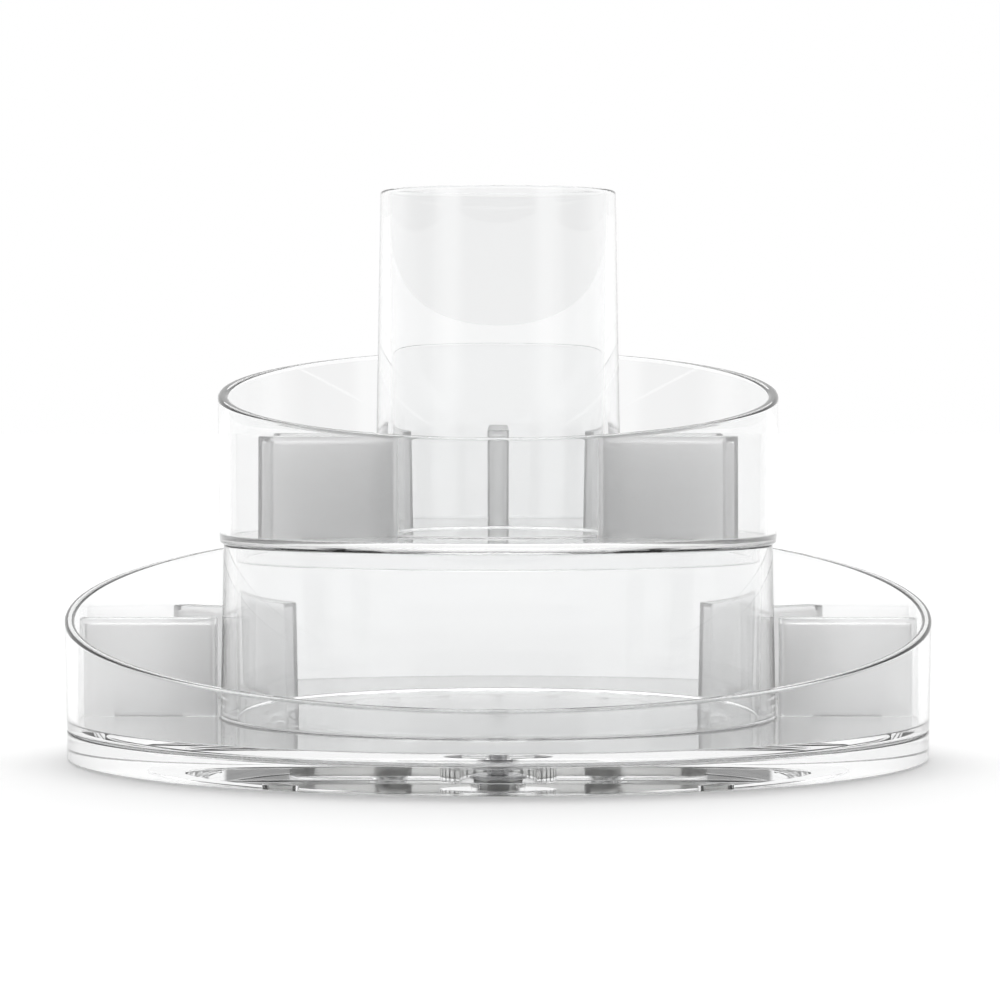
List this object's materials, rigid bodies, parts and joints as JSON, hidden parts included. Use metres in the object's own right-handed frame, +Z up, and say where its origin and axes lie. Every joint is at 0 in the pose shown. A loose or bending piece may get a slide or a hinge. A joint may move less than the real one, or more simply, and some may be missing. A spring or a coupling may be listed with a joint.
{
  "type": "rotating bathroom organizer",
  "caption": "Clear plastic tiered carousel: a spinning round tray with a slanted rim, a drum carrying a smaller slanted tray, and a tall brush cup, with hollow dividers.",
  "frame": {"origin": "on the spin axis, at the resting surface under the feet", "axes": "+Z up along the spin axis; +X to the right and -Y to the front, where both rims are lowest"},
  "size_m": [0.2996, 0.2995, 0.1961],
  "materials": {
    "clear_shell": "clear, polished",
    "clear_divider": "clear, faintly frosted by its hollow double wall",
    "clear_silicone": "translucent satin",
    "white_bearing_plastic": "satin",
    "steel": "bright"
  },
  "bodies": {
    "base": {"turntable_base": "clear_shell", "base_feet": "clear_silicone", "pivot_bushing": "white_bearing_plastic"},
    "cage": {"ball_cage": "white_bearing_plastic", "bearing_balls": "steel"},
    "tray": {"rotating_tray": "clear_shell", "riser_drum": "clear_shell", "pivot_pin": "steel", "thrust_washer": "steel", "pivot_nut": "steel"},
    "upper": {"upper_tray": "clear_shell", "brush_cup": "clear_shell"},
    "lower_divider_1": {"lower_divider_1": "clear_divider"},
    "lower_divider_2": {"lower_divider_2": "clear_divider"},
    "lower_divider_3": {"lower_divider_3": "clear_divider"},
    "lower_divider_4": {"lower_divider_4": "clear_divider"},
    "upper_divider_1": {"upper_divider_1": "clear_divider"},
    "upper_divider_2": {"upper_divider_2": "clear_divider"},
    "upper_divider_3": {"upper_divider_3": "clear_divider"},
    "upper_divider_4": {"upper_divider_4": "clear_divider"},
    "upper_divider_5": {"upper_divider_5": "clear_divider"}
  },
  "joints": [
    {"name": "tray_spin", "type": "hinge", "parent": "base", "child": "tray", "pos_m": [0, 0, 0.0108], "axis": [0, 0, 1], "continuous": true},
    {"name": "cage_spin", "type": "hinge", "parent": "base", "child": "cage", "pos_m": [0, 0, 0.0084], "axis": [0, 0, 1], "continuous": true},
    {"name": "tier_lift", "type": "slide", "parent": "tray", "child": "upper", "axis": [0, 0, 1], "range_m": [0, 0.03]},
    {"name": "lower_divider_1_lift", "type": "slide", "parent": "tray", "child": "lower_divider_1", "axis": [0, 0, 1], "range_m": [0, 0.07]},
    {"name": "lower_divider_2_lift", "type": "slide", "parent": "tray", "child": "lower_divider_2", "axis": [0, 0, 1], "range_m": [0, 0.07]},
    {"name": "lower_divider_3_lift", "type": "slide", "parent": "tray", "child": "lower_divider_3", "axis": [0, 0, 1], "range_m": [0, 0.07]},
    {"name": "lower_divider_4_lift", "type": "slide", "parent": "tray", "child": "lower_divider_4", "axis": [0, 0, 1], "range_m": [0, 0.07]},
    {"name": "upper_divider_1_lift", "type": "slide", "parent": "upper", "child": "upper_divider_1", "axis": [0, 0, 1], "range_m": [0, 0.07]},
    {"name": "upper_divider_2_lift", "type": "slide", "parent": "upper", "child": "upper_divider_2", "axis": [0, 0, 1], "range_m": [0, 0.07]},
    {"name": "upper_divider_3_lift", "type": "slide", "parent": "upper", "child": "upper_divider_3", "axis": [0, 0, 1], "range_m": [0, 0.07]},
    {"name": "upper_divider_4_lift", "type": "slide", "parent": "upper", "child": "upper_divider_4", "axis": [0, 0, 1], "range_m": [0, 0.07]},
    {"name": "upper_divider_5_lift", "type": "slide", "parent": "upper", "child": "upper_divider_5", "axis": [0, 0, 1], "range_m": [0, 0.07]}
  ],
  "couplings": [
    {"joint": "cage_spin", "follows": "tray_spin", "ratio": 0.5}
  ]
}
